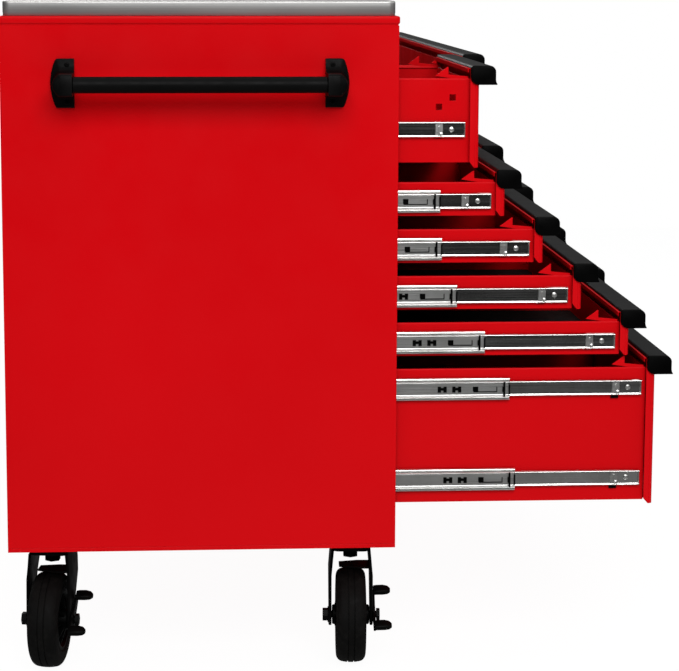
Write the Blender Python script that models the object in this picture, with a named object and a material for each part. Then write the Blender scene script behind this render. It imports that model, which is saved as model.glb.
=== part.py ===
"""Rolling tool chest: a two-bank roller cabinet with twelve drawers on ball-bearing slides.

Units are metres, Z is up, the drawers open towards -Y, and the side handle is on the -X side.
The drawers stand open in a stagger at rest.
Outlines and boxes are written from the case's own corner: x from its left face, y back from its front.
"""
import math

import bmesh
import bpy
from mathutils import Matrix, Vector

# Case
CASE_WIDTH = 1.829
CASE_DEPTH = 0.635
CASE_BOTTOM = 0.224
CASE_TOP = 1.096
SHEET = 0.0015
RIM_HEIGHT = 0.013
RIM_PROUD = 0.0015
FRONT_RECESS = 0.020
FASCIA_BOTTOM = 0.288
FASCIA_TOP = 1.020
DIVIDER_FLANGE = (0.4465, 0.4645)
TOUCH_GAP = 0.0003

# Worktop
WORKTOP_HEIGHT = 0.024
WORKTOP_INSET = 0.005
WORKTOP_SHEET = 0.002
WORKTOP_CORNER = 0.012

# Side handle
HANDLE_Z = 0.990
HANDLE_BAR_RADIUS = 0.013
HANDLE_STAND_OFF = 0.0575
HANDLE_SPAN = 0.475
BRACKET_WIDTH = 0.038
BRACKET_HEIGHT = 0.078
BRACKET_PLATE = 0.007

# Drawers: each bank's pull spans (start, end) and its box's outer faces, from the case's left face
PULL_SPAN = {"left": (0.003, 0.4515), "right": (0.459, 1.826)}
BOX_SPAN = {"left": (0.018, 0.433), "right": (0.478, 1.811)}
DRAWER_SHEET = 0.0012
DRAWER_DEPTH = 0.585
FRONT_DEPTH = 0.015
FRONT_GAP = 0.003
TOP_FLANGE_DEPTH = 0.018
TOP_LIP_Z = 0.986
SHALLOW_LIP_Z = 0.818
ROW_PITCH = 0.077
LAST_FRONT_BOTTOM = 0.291
WALL_ABOVE_LIP = 0.010
WALL_HEIGHTS = (0.136, 0.055, 0.055, 0.055, 0.055, 0.2245)
ROWS = len(WALL_HEIGHTS)
OPEN_AT_REST = {
    "left": (0.131, 0.175, 0.239, 0.3035, 0.3835, 0.429),
    "right": (0.180, 0.217, 0.274, 0.336, 0.411, 0.445),
}
LATCH_HOLE = 0.010
LATCH_HOLES = ((0.042, 0.965), (0.064, 0.950))

# Pulls
PULL_HEIGHT = 0.031
PULL_FRONT = 0.0262
PULL_LIP = 0.0285
PULL_REAR = 0.0148
PULL_WALL = 0.0027
PULL_CAP = 0.0042
PULL_TOP_THICKNESS = 0.0042

# Slides: the middle member of each three-part slide
MIDDLE_MEMBER_HEIGHT = 0.0375
MIDDLE_MEMBER_LENGTH = 0.500
MIDDLE_MEMBER_DEPTH = 0.007
MIDDLE_MEMBER_OUT = 0.0105
SLIDE_Z = ((0.9135,), (0.797,), (0.719,), (0.6415,), (0.5645,), (0.4865, 0.334))
MIDDLE_AHEAD = ((-0.004,), (0.070,), (0.0735,), (0.099,), (0.146,), (0.188, 0.199))

# Casters
WHEEL_RADIUS = 0.080
WHEEL_WIDTH = 0.050
HUB_RADIUS = 0.052
AXLE_RADIUS = 0.006
FORK_INNER = 0.0325
FORK_SHEET = 0.005
FORK_TOP = 0.2040
PLATE_BOTTOM = 0.2045
RAIL_BOTTOM = 0.2095
RAIL_WIDTH = 0.110
RAIL_SHEET = 0.003
SWIVEL_INSET = 0.125
SWIVEL_FROM_END = 0.064
TRAIL = 0.030
PEDAL_REACH = 0.044
PEDAL_PLATE = 0.004
PEDAL_GAP = 0.0006
PEDAL_TILT = 28.0
CASTER_HEADING = {"left_rear": 172.0, "left_front": 177.0, "right_front": 186.0, "right_rear": 175.0}

# Placing: the origin is on the floor under the middle of the whole chest with its drawers as they stand
HANDLE_REACH = HANDLE_STAND_OFF + HANDLE_BAR_RADIUS + 0.0015
CASE_LEFT = (HANDLE_REACH - RIM_PROUD - CASE_WIDTH) / 2
FURTHEST_OPEN = max(OPEN_AT_REST["left"] + OPEN_AT_REST["right"])
CASE_FRONT = (FURTHEST_OPEN + PULL_LIP - CASE_DEPTH - RIM_PROUD) / 2


def material(name, colour, roughness, metallic=0.0):
    finish = bpy.data.materials.new(name)
    finish.use_nodes = True
    shader = finish.node_tree.nodes["Principled BSDF"]
    shader.inputs["Base Color"].default_value = (*colour, 1.0)
    shader.inputs["Roughness"].default_value = roughness
    shader.inputs["Metallic"].default_value = metallic
    finish.diffuse_color = (*colour, 1.0)
    return finish


def clear_scene():
    for old in list(bpy.data.objects):
        bpy.data.objects.remove(old, do_unlink=True)


def add_object(name, shape, finish, place=Matrix(), smooth=False):
    """Turn a bmesh into a named object, with its faces turned outwards."""
    bmesh.ops.recalc_face_normals(shape, faces=shape.faces[:])
    mesh = bpy.data.meshes.new(name)
    shape.to_mesh(mesh)
    shape.free()
    if smooth:
        mesh.shade_smooth()
        mesh.set_sharp_from_angle(angle=math.radians(35))
    mesh.materials.append(finish)
    made = bpy.data.objects.new(name, mesh)
    made.matrix_world = place
    bpy.context.scene.collection.objects.link(made)
    return made


# Shapes

def box(x_range, y_range, z_range):
    """A box given from the case's front left edge, as its lowest and highest corners in the scene."""
    low = (CASE_LEFT + x_range[0], CASE_FRONT + y_range[0], z_range[0])
    high = (CASE_LEFT + x_range[1], CASE_FRONT + y_range[1], z_range[1])
    return low, high


def solid_of_boxes(added, cut=()):
    """One closed shape: the added boxes joined, less the cut boxes, on the grid of all their faces."""
    planes = [sorted({round(corner[axis], 6) for solid in (*added, *cut) for corner in solid})
              for axis in range(3)]

    def holds(solid, point):
        return all(solid[0][axis] < point[axis] < solid[1][axis] for axis in range(3))

    filled = set()
    for i in range(len(planes[0]) - 1):
        for j in range(len(planes[1]) - 1):
            for k in range(len(planes[2]) - 1):
                cell = (i, j, k)
                middle = [(planes[axis][cell[axis]] + planes[axis][cell[axis] + 1]) / 2 for axis in range(3)]
                if any(holds(solid, middle) for solid in added) and not any(holds(solid, middle) for solid in cut):
                    filled.add(cell)

    shape = bmesh.new()
    corners = {}

    def corner(index):
        if index not in corners:
            corners[index] = shape.verts.new([planes[axis][index[axis]] for axis in range(3)])
        return corners[index]

    for cell in filled:
        for axis in range(3):
            for side in (0, 1):
                beside = list(cell)
                beside[axis] += 1 if side else -1
                if tuple(beside) in filled:
                    continue
                across, along = (axis + 1) % 3, (axis + 2) % 3
                ring = []
                for step_across, step_along in ((0, 0), (1, 0), (1, 1), (0, 1)):
                    index = list(cell)
                    index[axis] += side
                    index[across] += step_across
                    index[along] += step_along
                    ring.append(corner(tuple(index)))
                shape.faces.new(ring)
    bmesh.ops.dissolve_limit(shape, angle_limit=math.radians(1), verts=shape.verts[:], edges=shape.edges[:])
    return shape


def skin_rings(rings, capped=True):
    """Join rings of equal length with quads: capped at both ends, or closed into a loop."""
    shape = bmesh.new()
    loops = [[shape.verts.new(point) for point in ring] for ring in rings]
    pairs = list(zip(loops, loops[1:]))
    if not capped:
        pairs.append((loops[-1], loops[0]))
    for first, second in pairs:
        count = len(first)
        for step in range(count):
            following = (step + 1) % count
            shape.faces.new((first[step], first[following], second[following], second[step]))
    if capped:
        shape.faces.new(list(reversed(loops[0])))
        shape.faces.new(loops[-1])
    return shape


def arc(centre, radius, start, end, steps):
    """Points on an arc, with its angles in degrees."""
    angles = [math.radians(start + (end - start) * step / steps) for step in range(steps + 1)]
    return [(centre[0] + radius * math.cos(angle), centre[1] + radius * math.sin(angle)) for angle in angles]


def rounded_rectangle(x_range, y_range, radius, steps=4):
    points = []
    corners = ((x_range[1], y_range[1], 0), (x_range[0], y_range[1], 90),
               (x_range[0], y_range[0], 180), (x_range[1], y_range[0], 270))
    for x, y, start in corners:
        centre = (x - math.copysign(radius, x - sum(x_range) / 2),
                  y - math.copysign(radius, y - sum(y_range) / 2))
        points += arc(centre, radius, start, start + 90, steps)
    return points


def turned(profile, steps):
    """A closed profile of (radius, along) points turned about the Y axis."""
    rings = []
    for step in range(steps):
        angle = 2 * math.pi * step / steps
        rings.append([(radius * math.cos(angle), along, radius * math.sin(angle)) for radius, along in profile])
    return skin_rings(rings, capped=False)


def prism(outline, axis, low, high):
    """An outline of two coordinates pushed along axis 0, 1 or 2, from low to high."""
    def ring(distance):
        return [tuple(point[:axis]) + (distance,) + tuple(point[axis:]) for point in outline]
    return skin_rings([ring(low), ring(high)])


def combine(target, tool_shape, operation):
    """Apply a Boolean of the tool shape to the target object."""
    tool = add_object("tool", tool_shape, target.data.materials[0], target.matrix_world.copy())
    change = target.modifiers.new(operation.lower(), "BOOLEAN")
    change.operation = operation
    change.solver = "EXACT"
    change.object = tool
    bpy.context.view_layer.update()
    seen = bpy.context.evaluated_depsgraph_get()
    result = bpy.data.meshes.new_from_object(target.evaluated_get(seen))
    old_mesh = target.data
    target.modifiers.clear()
    target.data = result
    result.name = target.name
    bpy.data.meshes.remove(old_mesh)
    bpy.data.objects.remove(tool, do_unlink=True)


# Case and worktop

def make_case(finish):
    inner_x = (SHEET, CASE_WIDTH - SHEET)
    inner_z = (CASE_BOTTOM + SHEET, CASE_TOP - SHEET)
    rear = CASE_DEPTH - SHEET
    divider_middle = sum(DIVIDER_FLANGE) / 2
    divider = (divider_middle - SHEET / 2, divider_middle + SHEET / 2)
    flange_back = FRONT_RECESS + SHEET
    added = [
        box((0, CASE_WIDTH), (0, CASE_DEPTH), (CASE_BOTTOM, CASE_TOP)),
        box((-RIM_PROUD, CASE_WIDTH + RIM_PROUD), (-RIM_PROUD, CASE_DEPTH + RIM_PROUD),
            (CASE_TOP - RIM_HEIGHT, CASE_TOP)),
    ]
    cut = [
        box(inner_x, (-RIM_PROUD, SHEET), (FASCIA_BOTTOM, FASCIA_TOP)),
        box(inner_x, (SHEET, FRONT_RECESS), inner_z),
        box((inner_x[0], DIVIDER_FLANGE[0]), (FRONT_RECESS, flange_back), inner_z),
        box((DIVIDER_FLANGE[1], inner_x[1]), (FRONT_RECESS, flange_back), inner_z),
        box((inner_x[0], divider[0]), (flange_back, rear), inner_z),
        box((divider[1], inner_x[1]), (flange_back, rear), inner_z),
    ]
    add_object("cabinet_case", solid_of_boxes(added, cut), finish)


def make_worktop(finish):
    """A folded pan, open underneath, with rounded upright corners."""
    bottom = CASE_TOP + TOUCH_GAP
    top = CASE_TOP + WORKTOP_HEIGHT
    edge = 0.0025

    def ring(inset, z):
        outline = rounded_rectangle(
            (CASE_LEFT + inset, CASE_LEFT + CASE_WIDTH - inset),
            (CASE_FRONT + inset, CASE_FRONT + CASE_DEPTH - inset),
            WORKTOP_CORNER + WORKTOP_INSET - inset)
        return [(x, y, z) for x, y in outline]

    inner = WORKTOP_INSET + WORKTOP_SHEET
    rings = [
        ring(inner, top - WORKTOP_SHEET),
        ring(inner, bottom),
        ring(WORKTOP_INSET, bottom),
        ring(WORKTOP_INSET, top - edge),
        ring(WORKTOP_INSET + edge * 0.3, top - edge * 0.3),
        ring(WORKTOP_INSET + edge, top),
    ]
    add_object("worktop", skin_rings(rings), finish, smooth=True)


# Side handle

def make_handle(finish):
    middle_y = CASE_DEPTH / 2
    bar_start = middle_y - HANDLE_SPAN / 2 + BRACKET_WIDTH + TOUCH_GAP
    bar_end = middle_y + HANDLE_SPAN / 2 - BRACKET_WIDTH - TOUCH_GAP
    circle = arc((-HANDLE_STAND_OFF, HANDLE_Z), HANDLE_BAR_RADIUS, 0, 345, 23)
    bar = skin_rings([[(CASE_LEFT + x, CASE_FRONT + y, z) for x, z in circle] for y in (bar_start, bar_end)])
    add_object("handle_bar", bar, finish, smooth=True)
    make_bracket("handle_bracket_front", finish, middle_y - HANDLE_SPAN / 2 + BRACKET_WIDTH, -1)
    make_bracket("handle_bracket_rear", finish, middle_y + HANDLE_SPAN / 2 - BRACKET_WIDTH, 1)


def make_bracket(name, finish, flat_y, outward):
    """A D-shaped plate with a post that carries the bar's end; its flat edge faces the bar."""
    def d_outline(width, height):
        bow = 0.0075
        corner = 0.004
        half = height / 2
        steps = 6
        points = [(0.0, -half), (width - bow - corner, -half), (width - bow - 0.001, -half + 0.0015)]
        for step in range(steps + 1):
            share = -1 + 2 * step / steps
            points.append((width - bow * share ** 2, share * (half - corner)))
        points += [(width - bow - 0.001, half - 0.0015), (width - bow - corner, half), (0.0, half)]
        return points

    def ring(reach, width, height):
        return [(CASE_LEFT - reach, CASE_FRONT + flat_y + outward * y, HANDLE_Z + z)
                for y, z in d_outline(width, height)]

    post_height = 2 * HANDLE_BAR_RADIUS + 0.010
    rings = [
        ring(TOUCH_GAP, BRACKET_WIDTH, BRACKET_HEIGHT),
        ring(BRACKET_PLATE - 0.002, BRACKET_WIDTH, BRACKET_HEIGHT),
        ring(BRACKET_PLATE, BRACKET_WIDTH - 0.002, BRACKET_HEIGHT - 0.004),
        ring(BRACKET_PLATE + 0.008, BRACKET_WIDTH * 0.85, BRACKET_HEIGHT * 0.62),
        ring(BRACKET_PLATE + 0.022, BRACKET_WIDTH * 0.80, post_height),
        ring(HANDLE_REACH - 0.004, BRACKET_WIDTH * 0.80, post_height),
        ring(HANDLE_REACH, BRACKET_WIDTH * 0.72, post_height - 0.006),
    ]
    add_object(name, skin_rings(rings), finish, smooth=True)


# Drawers

def lip_z(row):
    """Height of the pull's lower edge on a row, counted from 0 at the top."""
    return TOP_LIP_Z if row == 0 else SHALLOW_LIP_Z - ROW_PITCH * (row - 1)


def front_bottom_z(row):
    return LAST_FRONT_BOTTOM if row == ROWS - 1 else lip_z(row + 1) + PULL_HEIGHT + FRONT_GAP


def make_drawer(bank, row, red, black):
    face = -OPEN_AT_REST[bank][row]
    span = (PULL_SPAN[bank][0] + PULL_CAP + TOUCH_GAP, PULL_SPAN[bank][1] - PULL_CAP - TOUCH_GAP)
    sides = BOX_SPAN[bank]
    top = lip_z(row) + PULL_HEIGHT - PULL_TOP_THICKNESS - TOUCH_GAP
    bottom = front_bottom_z(row)
    wall_top = lip_z(row) + WALL_ABOVE_LIP
    wall_bottom = wall_top - WALL_HEIGHTS[row]
    sheet = DRAWER_SHEET
    inner_front = face + FRONT_DEPTH - sheet
    added = [
        box(span, (face, face + sheet), (bottom, top)),
        box(span, (face, face + TOP_FLANGE_DEPTH), (top - sheet, top)),
        box((span[0], span[0] + sheet), (face, face + FRONT_DEPTH), (bottom, top)),
        box((span[1] - sheet, span[1]), (face, face + FRONT_DEPTH), (bottom, top)),
        box(span, (face, face + FRONT_DEPTH / 2), (bottom, bottom + sheet)),
        box(sides, (inner_front, inner_front + sheet), (wall_bottom, wall_top)),
        box(sides, (inner_front, face + DRAWER_DEPTH), (wall_bottom, wall_bottom + sheet)),
        box(sides, (face + DRAWER_DEPTH - sheet, face + DRAWER_DEPTH), (wall_bottom, wall_top)),
        box((sides[0], sides[0] + sheet), (face, face + DRAWER_DEPTH), (wall_bottom, wall_top)),
        box((sides[1] - sheet, sides[1]), (face, face + DRAWER_DEPTH), (wall_bottom, wall_top)),
    ]
    cut = []
    if row == 0:
        for back, height in LATCH_HOLES:
            low = face + back - LATCH_HOLE / 2
            for wall in ((sides[0], sides[0] + sheet), (sides[1] - sheet, sides[1])):
                cut.append(box(wall, (low, low + LATCH_HOLE),
                               (height - LATCH_HOLE / 2, height + LATCH_HOLE / 2)))
    add_object(f"drawer_{bank}_{row + 1}", solid_of_boxes(added, cut), red)
    make_pull(bank, row, face, black)


def make_pull(bank, row, face, finish):
    """A full-width hook with closed ends: flat top, rounded front, flared lip, finger gap behind."""
    front_radius = 0.010
    rear_radius = 0.006
    low = lip_z(row)
    outline = [(-PULL_LIP, 0.0), (-PULL_FRONT, 0.005)]
    outline += arc((-PULL_FRONT + front_radius, PULL_HEIGHT - front_radius), front_radius, 180, 90, 5)
    outline += arc((PULL_REAR - rear_radius, PULL_HEIGHT - rear_radius), rear_radius, 90, 0, 3)
    outline += [(PULL_REAR, 0.013), (PULL_REAR - 0.004, 0.005), (PULL_REAR - 0.010, 0.0)]
    placed = [(CASE_FRONT + face + y, low + z) for y, z in outline]
    start = CASE_LEFT + PULL_SPAN[bank][0]
    end = CASE_LEFT + PULL_SPAN[bank][1]
    pull = add_object(f"pull_{bank}_{row + 1}", prism(placed, 0, start, end), finish)
    below = 0.010
    finger_gap = prism(
        [(CASE_FRONT + face - PULL_FRONT + PULL_WALL, low - below),
         (CASE_FRONT + face + PULL_REAR + below, low - below),
         (CASE_FRONT + face + PULL_REAR + below, low + PULL_HEIGHT - PULL_TOP_THICKNESS),
         (CASE_FRONT + face - PULL_FRONT + PULL_WALL + 0.004, low + PULL_HEIGHT - PULL_TOP_THICKNESS),
         (CASE_FRONT + face - PULL_FRONT + PULL_WALL, low + PULL_HEIGHT - PULL_TOP_THICKNESS - 0.006)],
        0, start + PULL_CAP, end - PULL_CAP)
    combine(pull, finger_gap, "DIFFERENCE")
    pull.data.shade_smooth()
    pull.data.set_sharp_from_angle(angle=math.radians(35))


def make_middle_members(bank, row, finish):
    """The middle member of each slide on the bank's outer side, as a channel open towards the drawer."""
    inward = 1 if bank == "left" else -1
    wall = BOX_SPAN["left"][0] if bank == "left" else BOX_SPAN["right"][1]
    web = wall - inward * MIDDLE_MEMBER_OUT
    levels = ("",) if len(SLIDE_Z[row]) == 1 else ("_upper", "_lower")
    for level, height, ahead in zip(levels, SLIDE_Z[row], MIDDLE_AHEAD[row]):
        extra = OPEN_AT_REST[bank][row] - OPEN_AT_REST["left"][row]
        y_range = (-ahead - extra / 2, -ahead - extra / 2 + MIDDLE_MEMBER_LENGTH)
        low = height - MIDDLE_MEMBER_HEIGHT / 2
        high = height + MIDDLE_MEMBER_HEIGHT / 2
        flange = sorted((web, web + inward * MIDDLE_MEMBER_DEPTH))
        added = [
            box(sorted((web, web + inward * SHEET)), y_range, (low, high)),
            box(flange, y_range, (low, low + SHEET)),
            box(flange, y_range, (high - SHEET, high)),
        ]
        add_object(f"slide_{bank}_{row + 1}{level}", solid_of_boxes(added), finish)


# Casters

def swivel_axes():
    """Each caster's swivel axis, in the scene."""
    xs = {"left": CASE_LEFT + SWIVEL_INSET, "right": CASE_LEFT + CASE_WIDTH - SWIVEL_INSET}
    ys = {"front": CASE_FRONT + SWIVEL_FROM_END, "rear": CASE_FRONT + CASE_DEPTH - SWIVEL_FROM_END}
    return {f"{side}_{end}": (xs[side], ys[end]) for side in xs for end in ys}


def make_base_frame(finish):
    """Two channels under the case's ends, joined by two cross channels, with the casters' plates below."""
    rail_top = CASE_BOTTOM - TOUCH_GAP
    rail_y = (0.012, CASE_DEPTH - 0.012)
    half = RAIL_WIDTH / 2
    plate_half = 0.050
    inner_z = (RAIL_BOTTOM, rail_top - RAIL_SHEET)
    added = []
    cut = []
    centres = (SWIVEL_INSET, CASE_WIDTH - SWIVEL_INSET)
    for x in centres:
        added.append(box((x - half, x + half), rail_y, (RAIL_BOTTOM, rail_top)))
        cut.append(box((x - half + RAIL_SHEET, x + half - RAIL_SHEET),
                       (rail_y[0] + RAIL_SHEET, rail_y[1] - RAIL_SHEET), inner_z))
    cross_depth = 0.060
    cross_x = (centres[0] + half - RAIL_SHEET, centres[1] - half + RAIL_SHEET)
    for y in (SWIVEL_FROM_END, CASE_DEPTH - SWIVEL_FROM_END):
        cross_y = (y - cross_depth / 2, y + cross_depth / 2)
        added.append(box(cross_x, cross_y, (RAIL_BOTTOM, rail_top)))
        cut.append(box((cross_x[0] + RAIL_SHEET, cross_x[1] - RAIL_SHEET),
                       (cross_y[0] + RAIL_SHEET, cross_y[1] - RAIL_SHEET), inner_z))
        for x in centres:
            added.append(box((x - half, x + half), (y - plate_half, y + plate_half),
                             (PLATE_BOTTOM, RAIL_BOTTOM)))
    add_object("base_frame", solid_of_boxes(added, cut), finish)


def make_caster(name, steel, rubber, plastic):
    """Fork with its axle, hub, tyre and brake pedal. Local X is the rolling direction, Y the axle."""
    x, y = swivel_axes()[name]
    turn = Matrix.Rotation(math.radians(CASTER_HEADING[name]), 4, "Z")
    swivel = Matrix.Translation((x, y, 0.0)) @ turn
    axle = swivel @ Matrix.Translation((TRAIL, 0.0, WHEEL_RADIUS))
    make_fork(f"caster_{name}_fork", steel, swivel)
    make_wheel(f"caster_{name}", plastic, rubber, axle)
    tilt = Matrix.Rotation(math.radians(PEDAL_TILT), 4, "Y")
    make_pedal(f"caster_{name}_pedal", steel, axle @ tilt)


def make_fork(name, finish, swivel):
    """A bent plate over the wheel, narrowing to the axle, with the axle and the kingpin nut joined on."""
    outer = FORK_INNER + FORK_SHEET
    top_outer = outer - 0.004
    leg_foot = WHEEL_RADIUS - 0.022
    shoulder = 0.008
    crown_under = FORK_TOP - 0.008
    bent = [(-outer, leg_foot), (-outer, 0.150), (-top_outer, FORK_TOP - shoulder),
            (-top_outer + shoulder, FORK_TOP), (top_outer - shoulder, FORK_TOP),
            (top_outer, FORK_TOP - shoulder), (outer, 0.150), (outer, leg_foot),
            (FORK_INNER, leg_foot), (FORK_INNER, 0.150), (top_outer - FORK_SHEET, crown_under),
            (-top_outer + FORK_SHEET, crown_under), (-FORK_INNER, 0.150), (-FORK_INNER, leg_foot)]
    fork = add_object(name, prism(bent, 0, -0.060, 0.090), finish, swivel)
    foot_radius = 0.018
    crown_half = 0.042
    side = arc((TRAIL, WHEEL_RADIUS), foot_radius, 190, 350, 8)
    side += [(crown_half + 0.004, 0.150), (crown_half, FORK_TOP + 0.010),
             (-crown_half, FORK_TOP + 0.010), (-crown_half, 0.165)]
    combine(fork, prism(side, 1, -0.060, 0.060), "INTERSECT")
    axle_round = arc((TRAIL, WHEEL_RADIUS), AXLE_RADIUS, 0, 345, 23)
    combine(fork, prism(axle_round, 1, -outer - 0.004, outer + 0.010), "UNION")
    head = arc((TRAIL, WHEEL_RADIUS), 0.0115, 0, 300, 5)
    combine(fork, prism(head, 1, -outer - 0.010, -outer + 0.001), "UNION")
    combine(fork, prism(head, 1, outer + 0.006, outer + 0.012), "UNION")
    nut = arc((0.0, 0.0), 0.014, 0, 300, 5)
    combine(fork, prism(nut, 2, crown_under - 0.022, crown_under + 0.001), "UNION")


def make_wheel(name, plastic, rubber, axle):
    bore = AXLE_RADIUS + TOUCH_GAP
    half = WHEEL_WIDTH / 2
    boss = FORK_INNER - 0.001
    hub = [(bore, -boss), (0.016, -boss), (0.018, -half + 0.006), (HUB_RADIUS - 0.008, -half + 0.008),
           (HUB_RADIUS - 0.006, -half + 0.002), (HUB_RADIUS, -half + 0.002),
           (HUB_RADIUS, half - 0.002), (HUB_RADIUS - 0.006, half - 0.002),
           (HUB_RADIUS - 0.008, half - 0.008), (0.018, half - 0.006), (0.016, boss), (bore, boss)]
    add_object(f"{name}_hub", turned(hub, 32), plastic, axle, smooth=True)
    seat = HUB_RADIUS + TOUCH_GAP
    shoulder = 0.011
    tread_drop = 0.0015
    tyre = [(seat, -half + 0.003), (seat + 0.004, -half), (WHEEL_RADIUS - shoulder, -half)]
    tyre += [(radius, along) for along, radius in
             arc((-half + shoulder, WHEEL_RADIUS - shoulder - tread_drop), shoulder, 180, 90, 4)[1:]]
    tyre += [(WHEEL_RADIUS, -half * 0.25), (WHEEL_RADIUS, half * 0.25)]
    tyre += [(radius, along) for along, radius in
             arc((half - shoulder, WHEEL_RADIUS - shoulder - tread_drop), shoulder, 90, 0, 4)[:-1]]
    tyre += [(WHEEL_RADIUS - shoulder, half), (seat + 0.004, half), (seat, half - 0.003)]
    add_object(f"{name}_tyre", turned(tyre, 40), rubber, axle, smooth=True)


def make_pedal(name, finish, axle):
    """A rocker outside one fork leg, turning on the axle, with a bent-out paddle at each end."""
    outer = FORK_INNER + FORK_SHEET
    plate = (outer + PEDAL_GAP, outer + PEDAL_GAP + PEDAL_PLATE)
    boss_radius = 0.015
    outline = arc((0.0, 0.0), boss_radius, 200, 340, 6)
    outline += [(PEDAL_REACH, 0.004), (PEDAL_REACH + 0.002, 0.012), (PEDAL_REACH - 0.006, 0.020)]
    outline += arc((0.0, 0.0), boss_radius, 60, 120, 3)
    outline += [(-PEDAL_REACH + 0.006, 0.020), (-PEDAL_REACH - 0.002, 0.012), (-PEDAL_REACH, 0.004)]
    pedal = add_object(name, prism(outline, 1, *plate), finish, axle)
    paddle_out = 0.027
    for side in (-1, 1):
        across = sorted((side * (PEDAL_REACH - 0.012), side * (PEDAL_REACH + 0.006)))
        pad = rounded_rectangle(across, (plate[0] + 0.0005, plate[1] + paddle_out), 0.007)
        combine(pedal, prism(pad, 2, 0.0125, 0.0185), "UNION")
    bore = arc((0.0, 0.0), AXLE_RADIUS + TOUCH_GAP * 2, 0, 345, 23)
    combine(pedal, prism(bore, 1, plate[0] - 0.005, plate[1] + 0.005), "DIFFERENCE")


def make_chest():
    clear_scene()
    red = material("red_powder_coat", (0.62, 0.008, 0.014), 0.32)
    black = material("black_plastic", (0.012, 0.012, 0.013), 0.45)
    black_paint = material("black_powder_coat", (0.014, 0.014, 0.015), 0.40)
    steel = material("brushed_steel", (0.46, 0.45, 0.44), 0.34, 1.0)
    zinc = material("bright_zinc", (0.62, 0.62, 0.60), 0.26, 1.0)
    rubber = material("tyre_rubber", (0.010, 0.010, 0.010), 0.70)
    make_case(red)
    make_worktop(steel)
    make_handle(black_paint)
    make_base_frame(black_paint)
    for name in CASTER_HEADING:
        make_caster(name, black_paint, rubber, black)
    for bank in PULL_SPAN:
        for row in range(ROWS):
            make_drawer(bank, row, red, black)
            make_middle_members(bank, row, zinc)


make_chest()
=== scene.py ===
"""Looks of the rolling tool chest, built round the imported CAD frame. Metres, Z up, front towards -Y."""
import math

import bmesh
import bpy
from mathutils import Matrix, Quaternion, Vector


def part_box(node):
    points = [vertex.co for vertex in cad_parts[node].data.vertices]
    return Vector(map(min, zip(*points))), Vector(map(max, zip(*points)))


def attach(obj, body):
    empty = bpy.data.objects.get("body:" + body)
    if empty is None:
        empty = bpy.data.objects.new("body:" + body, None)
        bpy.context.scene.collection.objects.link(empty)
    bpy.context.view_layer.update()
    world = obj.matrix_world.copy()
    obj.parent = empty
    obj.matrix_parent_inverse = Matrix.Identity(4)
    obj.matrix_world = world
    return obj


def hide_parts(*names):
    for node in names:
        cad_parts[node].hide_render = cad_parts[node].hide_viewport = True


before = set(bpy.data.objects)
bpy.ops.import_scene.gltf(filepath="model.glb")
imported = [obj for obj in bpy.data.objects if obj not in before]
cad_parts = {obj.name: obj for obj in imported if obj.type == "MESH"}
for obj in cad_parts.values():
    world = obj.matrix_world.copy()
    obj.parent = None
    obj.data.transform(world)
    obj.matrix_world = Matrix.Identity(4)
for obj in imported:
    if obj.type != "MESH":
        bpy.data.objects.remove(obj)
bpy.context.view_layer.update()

# Sizes shared with the CAD model. Y places count back from the case's front, X places from its left side.
RIM_PROUD = 0.0015
RIM_HEIGHT = 0.013
SHEET = 0.0015
DRAWER_SHEET = 0.0012
DIVIDER_FLANGE = (0.4465, 0.4645)
FRONT_RECESS = 0.020
FASCIA_BOTTOM = 0.288
FASCIA_TOP = 1.020
FRONT_DEPTH = 0.015
BOX_SPAN = {"left": (0.018, 0.433), "right": (0.478, 1.811)}
DRAWER_DEPTH = 0.585
WALL_HEIGHTS = (0.136, 0.055, 0.055, 0.055, 0.055, 0.2245)
WALL_BELOW_PULL_TOP = 0.021
PULL_HEIGHT = 0.031
PULL_FRONT = 0.0262
PULL_REAR = 0.0148
LATCH_HOLES = ((0.042, 0.965), (0.064, 0.950))
LATCH_HOLE_SIZE = 0.010
SLIDE_Z = ((0.9135,), (0.797,), (0.719,), (0.6415,), (0.5645,), (0.4865, 0.334))
FIXED_MEMBER_HEIGHT = 0.0455
MIDDLE_MEMBER_HEIGHT = 0.0375
INNER_MEMBER_HEIGHT = 0.0265
FIXED_OFF_WALL = 0.0130
MIDDLE_OFF_WALL = 0.0108
INNER_OFF_WALL = 0.0080
FIXED_SPAN = (0.024, 0.583)
INNER_BEHIND_FACE = 0.0217
INNER_LENGTH = 0.545
BANKS = ("left", "right")
ROWS = len(SLIDE_Z)
HUB_RADIUS = 0.052
WHEEL_RADIUS = 0.080
WHEEL_HALF_WIDTH = 0.025
FORK_INNER = 0.0325
FORK_OUTER = 0.0375
AXLE_RADIUS = 0.0060
PEDAL_TILT = 28.0
TRAIL = 0.030
CASTER_HEADING = {"left_rear": 172.0, "left_front": 177.0, "right_front": 186.0, "right_rear": 175.0}

case_low, case_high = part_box("cabinet_case")
CASE_LEFT = case_low[0] + RIM_PROUD
CASE_RIGHT = case_high[0] - RIM_PROUD
CASE_FRONT = case_low[1] + RIM_PROUD
CASE_REAR = case_high[1] - RIM_PROUD
CASE_BOTTOM = case_low[2]
CASE_TOP = case_high[2]


# Materials

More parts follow.
